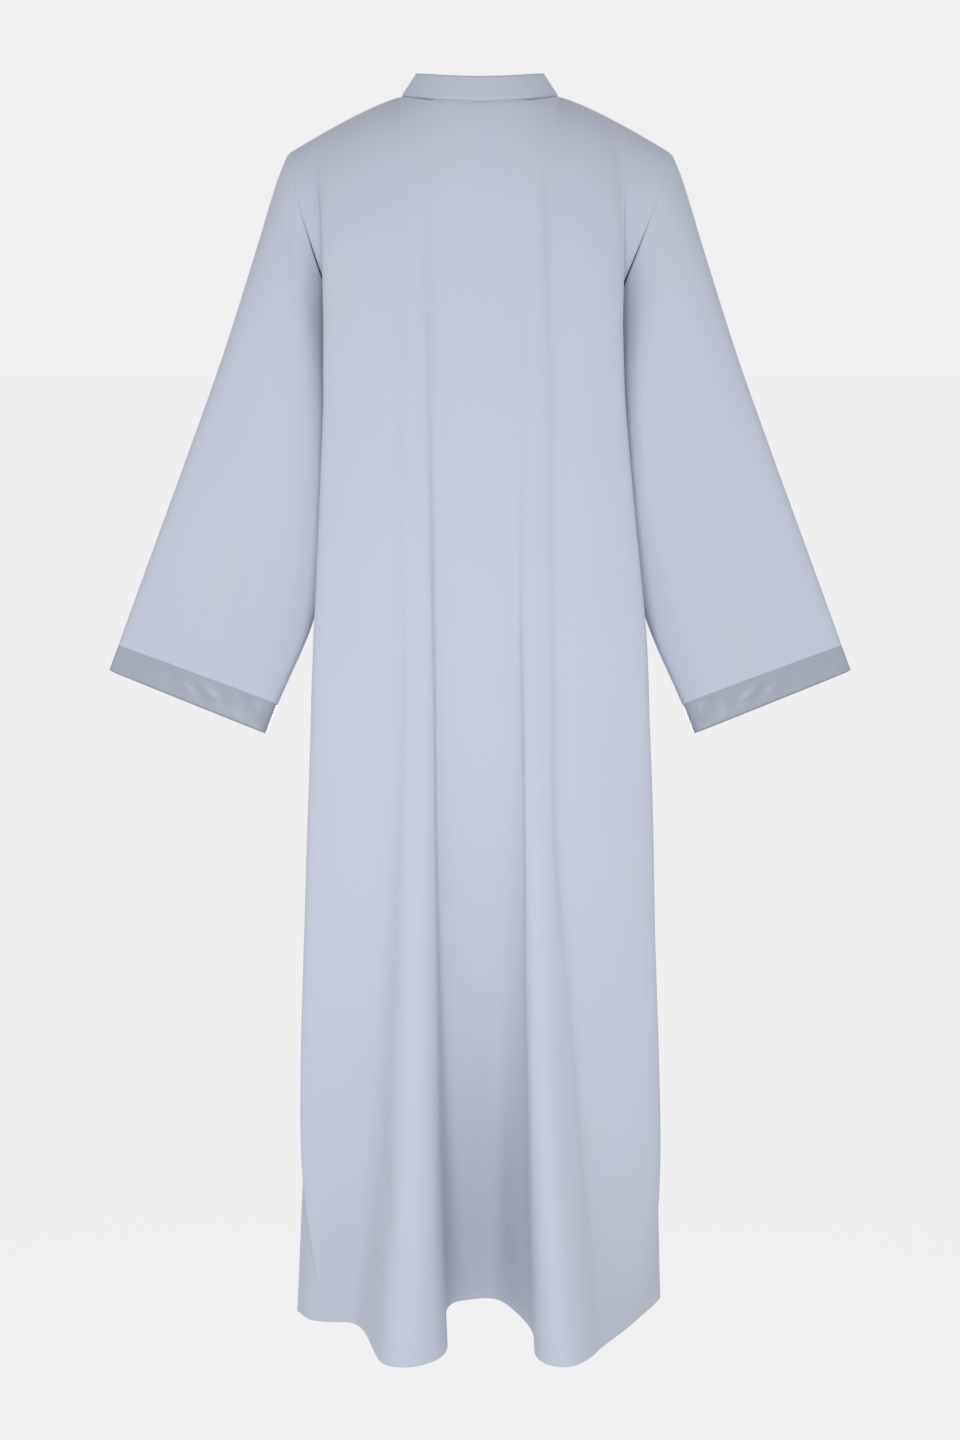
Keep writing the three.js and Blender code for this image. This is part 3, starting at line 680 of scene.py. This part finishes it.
# a tube of cloth along a sleeve, from one ring to another
def makeTube(name, hand, alongs, sewnEdges, creases, hanging):
    grid = sleeveGrid(hand, alongs)
    coordinates = clothCoordinates(grid, sleeve["columnsPerSide"] // 2, ring=True)
    shaped = finishedGrid(grid, hand, coordinates, sewnEdges, creases, hanging, ring=True)
    return thicken(makeSheet(name, shaped, coordinates, hand, ring=True), garment["clothThickness"])


sleevePieces, cuffPieces = {}, {}
for side, hand in (("left", -1), ("right", 1)):
    alongs = closingIn(0, 1, sleeve["rings"])
    hanging = sleeve["hanging"][side]
    sleevePieces[side] = makeTube("sleeve." + side, hand, alongs, ("bottom",), (), hanging)
    alongs = closingIn(1, sleeve["cuffEnd"], sleeve["cuffRings"])
    cuffPieces[side] = makeTube("cuffBand." + side, hand, alongs, (), sleeve["cuffCreases"], ())

print("abaya: collar")

collar = {
    "height": 0.030,
    "leanSide": math.radians(34),
    "leanBack": math.radians(25),
    "leanFront": math.radians(12),
    "frontGap": 0.006,
    "rows": 16,
    "columnsPerLine": 10,
}


# the neckline from one fold line to another
def neckStretch(sheet, fromLine, toLine):
    count = int(abs(toLine - fromLine) * collar["columnsPerLine"])
    return topPoints(sheet, np.linspace(fromLine, toLine, count + 1))


neckSeam = np.vstack([
    neckStretch(frontSheet, middleLine, rightNeckLine),
    neckStretch(backSheet, rightNeckLine, leftNeckLine)[1:],
    neckStretch(frontSheet, leftNeckLine, middleLine)[1:],
])
neckSeam[0, 0] += collar["frontGap"] / 2
neckSeam[-1, 0] -= collar["frontGap"] / 2
outward = neckSeam[:, :2] / (garment["neckHalfWidth"], backSheet["neckReach"])
outward = outward / np.linalg.norm(outward, axis=1, keepdims=True)
endLean = np.where(neckSeam[:, 1] < 0, collar["leanBack"], collar["leanFront"])
lean = mix(collar["leanSide"], endLean, outward[:, 1] ** 2)
rows = []
for share in np.linspace(0, 1, collar["rows"] + 1):
    rise = collar["height"] * share
    row = neckSeam.copy()
    row[:, :2] -= outward * (rise * np.sin(lean))[:, None]
    row[:, 2] += rise * np.cos(lean)
    rows.append(row)
grid = np.array(rows)
coordinates = clothCoordinates(grid, len(neckSeam) // 2)
shaped = finishedGrid(grid, -1, coordinates, ("bottom",), ())
collarPiece = thicken(makeSheet("collarBand", shaped, coordinates, -1), 2 * garment["clothThickness"])

print("abaya: finishes")


# wraps a shader socket, so that sums written on it add Math nodes
class Term:
    def __init__(self, shader, output):
        self.shader = shader
        self.output = output

    def math(self, operation, *terms):
        return self.shader.node("ShaderNodeMath", {"operation": operation}, dict(enumerate(terms)))

    def __add__(self, other):
        return self.math("ADD", self, other)

    __radd__ = __add__

    def __sub__(self, other):
        return self.math("SUBTRACT", self, other)

    def __rsub__(self, other):
        return self.math("SUBTRACT", other, self)

    def __mul__(self, other):
        return self.math("MULTIPLY", self, other)

    __rmul__ = __mul__


# the empty node tree of a material or a world, to be filled
class Shader:
    def __init__(self, owner):
        self.owner = owner
        owner.use_nodes = True
        self.tree = owner.node_tree
        self.tree.nodes.clear()

    # any node: its settings first, then values or links for its sockets, by name or number
    def node(self, kind, settings=None, sockets=None, output=0):
        made = self.tree.nodes.new(kind)
        for name, value in (settings or {}).items():
            setattr(made, name, value)
        for name, value in (sockets or {}).items():
            if isinstance(value, Term):
                self.tree.links.new(value.output, made.inputs[name])
            else:
                made.inputs[name].default_value = value
        return Term(self, made.outputs[output]) if made.outputs else None


# a cloth's colour, which wanders between a cool and a violet one
def mottledColour(shader, dye):
    place = shader.node("ShaderNodeTexCoord", output="Object")
    mottle = shader.node("ShaderNodeTexNoise", sockets={
        "Vector": place, "Scale": dye["mottlePerMetre"], "Detail": 1,
    })
    return shader.node("ShaderNodeMix", {"data_type": "RGBA"}, {
        0: mottle, 6: dye["coolColour"], 7: dye["violetColour"],
    }, output=2)


crepe = {
    "coolColour": (0.429, 0.480, 0.553, 1),
    "violetColour": (0.450, 0.464, 0.569, 1),
    "mottlePerMetre": 9,
    "roughness": 0.82,
    "roughnessSpread": 0.1,
    "sheen": 0.12,
    "grainPerMetre": 900,
    "grainHeight": 0.0003,
    "grainStrength": 0.25,
    "hemStitch": 0.020,  # the hem's stitch line lies this far up the body
    "stitchHalfWidth": 0.0005,
    "stitchesPerMetre": 400,
    "stitchShare": 0.7,  # of each stitch's length, the thread shows
    "stitchShade": 0.16,
    "stitchDepth": 2,  # in heights of the grain
    "threadColour": (0.2, 0.2, 0.26, 1),
}


# the plain crepe, or with the hem's row of stitches
def makeCrepe(name, hemmed):
    shader = Shader(bpy.data.materials.new(name))
    cloth = shader.node("ShaderNodeTexCoord", output="UV")
    grain = shader.node("ShaderNodeTexNoise", sockets={
        "Vector": cloth, "Scale": crepe["grainPerMetre"], "Detail": 3,
    })
    colour = mottledColour(shader, crepe)
    height = grain
    if hemmed:
        across = shader.node("ShaderNodeSeparateXYZ", sockets={"Vector": cloth}, output="X")
        up = shader.node("ShaderNodeSeparateXYZ", sockets={"Vector": cloth}, output="Y")
        onLine = up.math("COMPARE", up, crepe["hemStitch"], crepe["stitchHalfWidth"])
        counted = across * crepe["stitchesPerMetre"]
        inStitch = counted.math("LESS_THAN", counted.math("FRACT", counted), crepe["stitchShare"])
        stitch = onLine * inStitch
        colour = shader.node("ShaderNodeMix", {"data_type": "RGBA"}, {
            0: stitch * crepe["stitchShade"], 6: colour, 7: crepe["threadColour"],
        }, output=2)
        height = grain - stitch * crepe["stitchDepth"]
    bump = shader.node("ShaderNodeBump", sockets={
        "Strength": crepe["grainStrength"], "Distance": crepe["grainHeight"], "Height": height,
    })
    surface = shader.node("ShaderNodeBsdfPrincipled", sockets={
        "Base Color": colour,
        "Roughness": crepe["roughness"] + (grain - 0.5) * crepe["roughnessSpread"],
        "Normal": bump,
        "Sheen Weight": crepe["sheen"],
        "Sheen Roughness": 0.5,
        "Specular IOR Level": 0.3,
    })
    shader.node("ShaderNodeOutputMaterial", sockets={"Surface": surface})
    return shader.owner


satin = {
    "coolColour": (0.278, 0.318, 0.373, 1),
    "violetColour": (0.304, 0.314, 0.394, 1),
    "mottlePerMetre": 16,
    "roughness": 0.38,
    "roughnessSpread": 0.1,
    "threadsPerMetre": 2600,
    "threadStretch": 0.15,  # how much more slowly the threads change along their length
    "threadHeight": 0.0002,
    "threadStrength": 0.1,
}


def makeSatin():
    shader = Shader(bpy.data.materials.new("satin"))
    cloth = shader.node("ShaderNodeTexCoord", output="UV")
    stretched = shader.node("ShaderNodeMapping", sockets={
        "Vector": cloth, "Scale": (1, satin["threadStretch"], 1),
    })
    thread = shader.node("ShaderNodeTexNoise", sockets={
        "Vector": stretched, "Scale": satin["threadsPerMetre"], "Detail": 2,
    })
    bump = shader.node("ShaderNodeBump", sockets={
        "Strength": satin["threadStrength"], "Distance": satin["threadHeight"], "Height": thread,
    })
    surface = shader.node("ShaderNodeBsdfPrincipled", sockets={
        "Base Color": mottledColour(shader, satin),
        "Roughness": satin["roughness"] + (thread - 0.5) * satin["roughnessSpread"],
        "Normal": bump,
    })
    shader.node("ShaderNodeOutputMaterial", sockets={"Surface": surface})
    return shader.owner


bodyFinish = makeCrepe("hemmed crepe", True)
crepeFinish = makeCrepe("crepe", False)
satinFinish = makeSatin()

print("abaya: pieces to the frame")

# each piece with its solid, its finish, the size it was cut to and its flat area
cuts = (
    (backPiece, "back", bodyFinish, "crepe", (0.98, 1.50), 0.91),
    (frontPieces["left"], "front_left", bodyFinish, "crepe", (0.49, 1.50), 0.46),
    (frontPieces["right"], "front_right", bodyFinish, "crepe", (0.49, 1.50), 0.46),
    (sleevePieces["left"], "sleeve_left", crepeFinish, "crepe", (0.53, 0.61), 0.225),
    (sleevePieces["right"], "sleeve_right", crepeFinish, "crepe", (0.53, 0.61), 0.225),
    (cuffPieces["left"], "cuff_left", satinFinish, "satin", (0.44, 0.038), 0.0155),
    (cuffPieces["right"], "cuff_right", satinFinish, "satin", (0.44, 0.038), 0.0155),
    (collarPiece, "collar", crepeFinish, "crepe", (0.53, 0.032), 0.0155),
)
for piece, node, finish, slotName, flat, area in cuts:
    piece.data.materials.append(finish)
    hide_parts(node)
    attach(piece, "root")

print("abaya: studio")

studio = {
    "pale": 0.871,  # what the floor and the horizon both show
    "skyTop": 0.56,
    "horizonReach": 0.25,  # the sky stays pale up to this height of its unit sphere, then darkens
    "floorDown": 1.9,
    "floorSize": 60,
    "floorAlbedo": 0.03,
    "floorGlow": 0.84,
    "dimPlace": (0, -2.4, -1.9),  # under the camera, out of its view, the floor glows less
    "dimReach": (0.3, 3.0),  # least up to the first of these distances, in full from the second
    "glowLeft": 0.35,
}
bpy.ops.mesh.primitive_plane_add(size=studio["floorSize"], location=(0, 0, -studio["floorDown"]))
floor = bpy.context.object
floor.name = "floor"
bpy.ops.object.transform_apply(location=True)
# the floor is nearly black and glows with its own light, standing in for a lamp that lights the cloth from
# below; it glows less under the camera, so the lower cloth gets less of that light
pale = Shader(bpy.data.materials.new("pale floor"))
floorPlace = pale.node("ShaderNodeTexCoord", output="Object")
away = pale.node("ShaderNodeVectorMath", {"operation": "DISTANCE"}, {
    0: floorPlace, 1: studio["dimPlace"],
}, output="Value")
glow = pale.node("ShaderNodeMapRange", {"interpolation_type": "SMOOTHSTEP"}, {
    "Value": away,
    "From Min": studio["dimReach"][0],
    "From Max": studio["dimReach"][1],
    "To Min": studio["floorGlow"] * studio["glowLeft"],
    "To Max": studio["floorGlow"],
})
floorGlowSurface = pale.node("ShaderNodeBsdfPrincipled", sockets={
    "Base Color": (studio["floorAlbedo"],) * 3 + (1,),
    "Roughness": 1,
    "Specular IOR Level": 0,
    "Emission Color": glow,
    "Emission Strength": 1,
})
pale.node("ShaderNodeOutputMaterial", sockets={"Surface": floorGlowSurface})
floor.data.materials.append(pale.owner)

world = bpy.data.worlds.new("studio")
bpy.context.scene.world = world
sky = Shader(world)
direction = sky.node("ShaderNodeTexCoord", output="Generated")
skyHeight = sky.node("ShaderNodeSeparateXYZ", sockets={"Vector": direction}, output="Z")
brightness = sky.node("ShaderNodeMapRange", {"interpolation_type": "SMOOTHSTEP"}, {
    "Value": skyHeight,
    "From Min": studio["horizonReach"],
    "From Max": 1,
    "To Min": studio["pale"],
    "To Max": studio["skyTop"],
})
background = sky.node("ShaderNodeBackground", sockets={"Color": (1, 1, 1, 1), "Strength": brightness})
sky.node("ShaderNodeOutputWorld", sockets={"Surface": background})

softboxColumns = ("name", "location", "aim", "wide", "tall", "watts")
softboxes = named(softboxColumns, (
    ("behind", (-0.06, -1.5, -0.82), (0, 0, -0.82), 0.6, 1.3, 11.6),
    ("behind left", (-1.9, -1.9, -0.3), (-0.1, 0, -0.30), 0.7, 0.9, 3.8),
    ("behind right", (1.9, -1.9, -0.3), (0.1, 0, -0.30), 0.7, 0.9, 2.4),
    ("before", (0.05, 1.5, -0.68), (0, 0, -0.68), 0.6, 1.3, 11.6),
))


# turns a light or the camera from where it stands towards a point
def look(thing, aim):
    thing.rotation_euler = (Vector(aim) - thing.location).to_track_quat("-Z", "Y").to_euler()


for softbox in softboxes:
    area = bpy.data.lights.new(softbox["name"], "AREA")
    light = bpy.data.objects.new("softbox." + softbox["name"], area)
    bpy.context.scene.collection.objects.link(light)
    light.data.shape = "RECTANGLE"
    light.data.size, light.data.size_y = softbox["wide"], softbox["tall"]
    light.data.energy = softbox["watts"]
    light.location = softbox["location"]
    look(light, softbox["aim"])
    light.visible_camera = False

view = {"from": (0, -2.900, -0.150), "aim": (0, 0, -0.70512), "lens": 63.42, "sensor": 36}
camera = bpy.data.objects.new("camera", bpy.data.cameras.new("camera"))
bpy.context.scene.collection.objects.link(camera)
camera.data.lens, camera.data.sensor_width = view["lens"], view["sensor"]
camera.location = view["from"]
look(camera, view["aim"])
bpy.context.scene.camera = camera

bpy.context.scene.view_settings.view_transform = "Standard"

print("abaya: done")
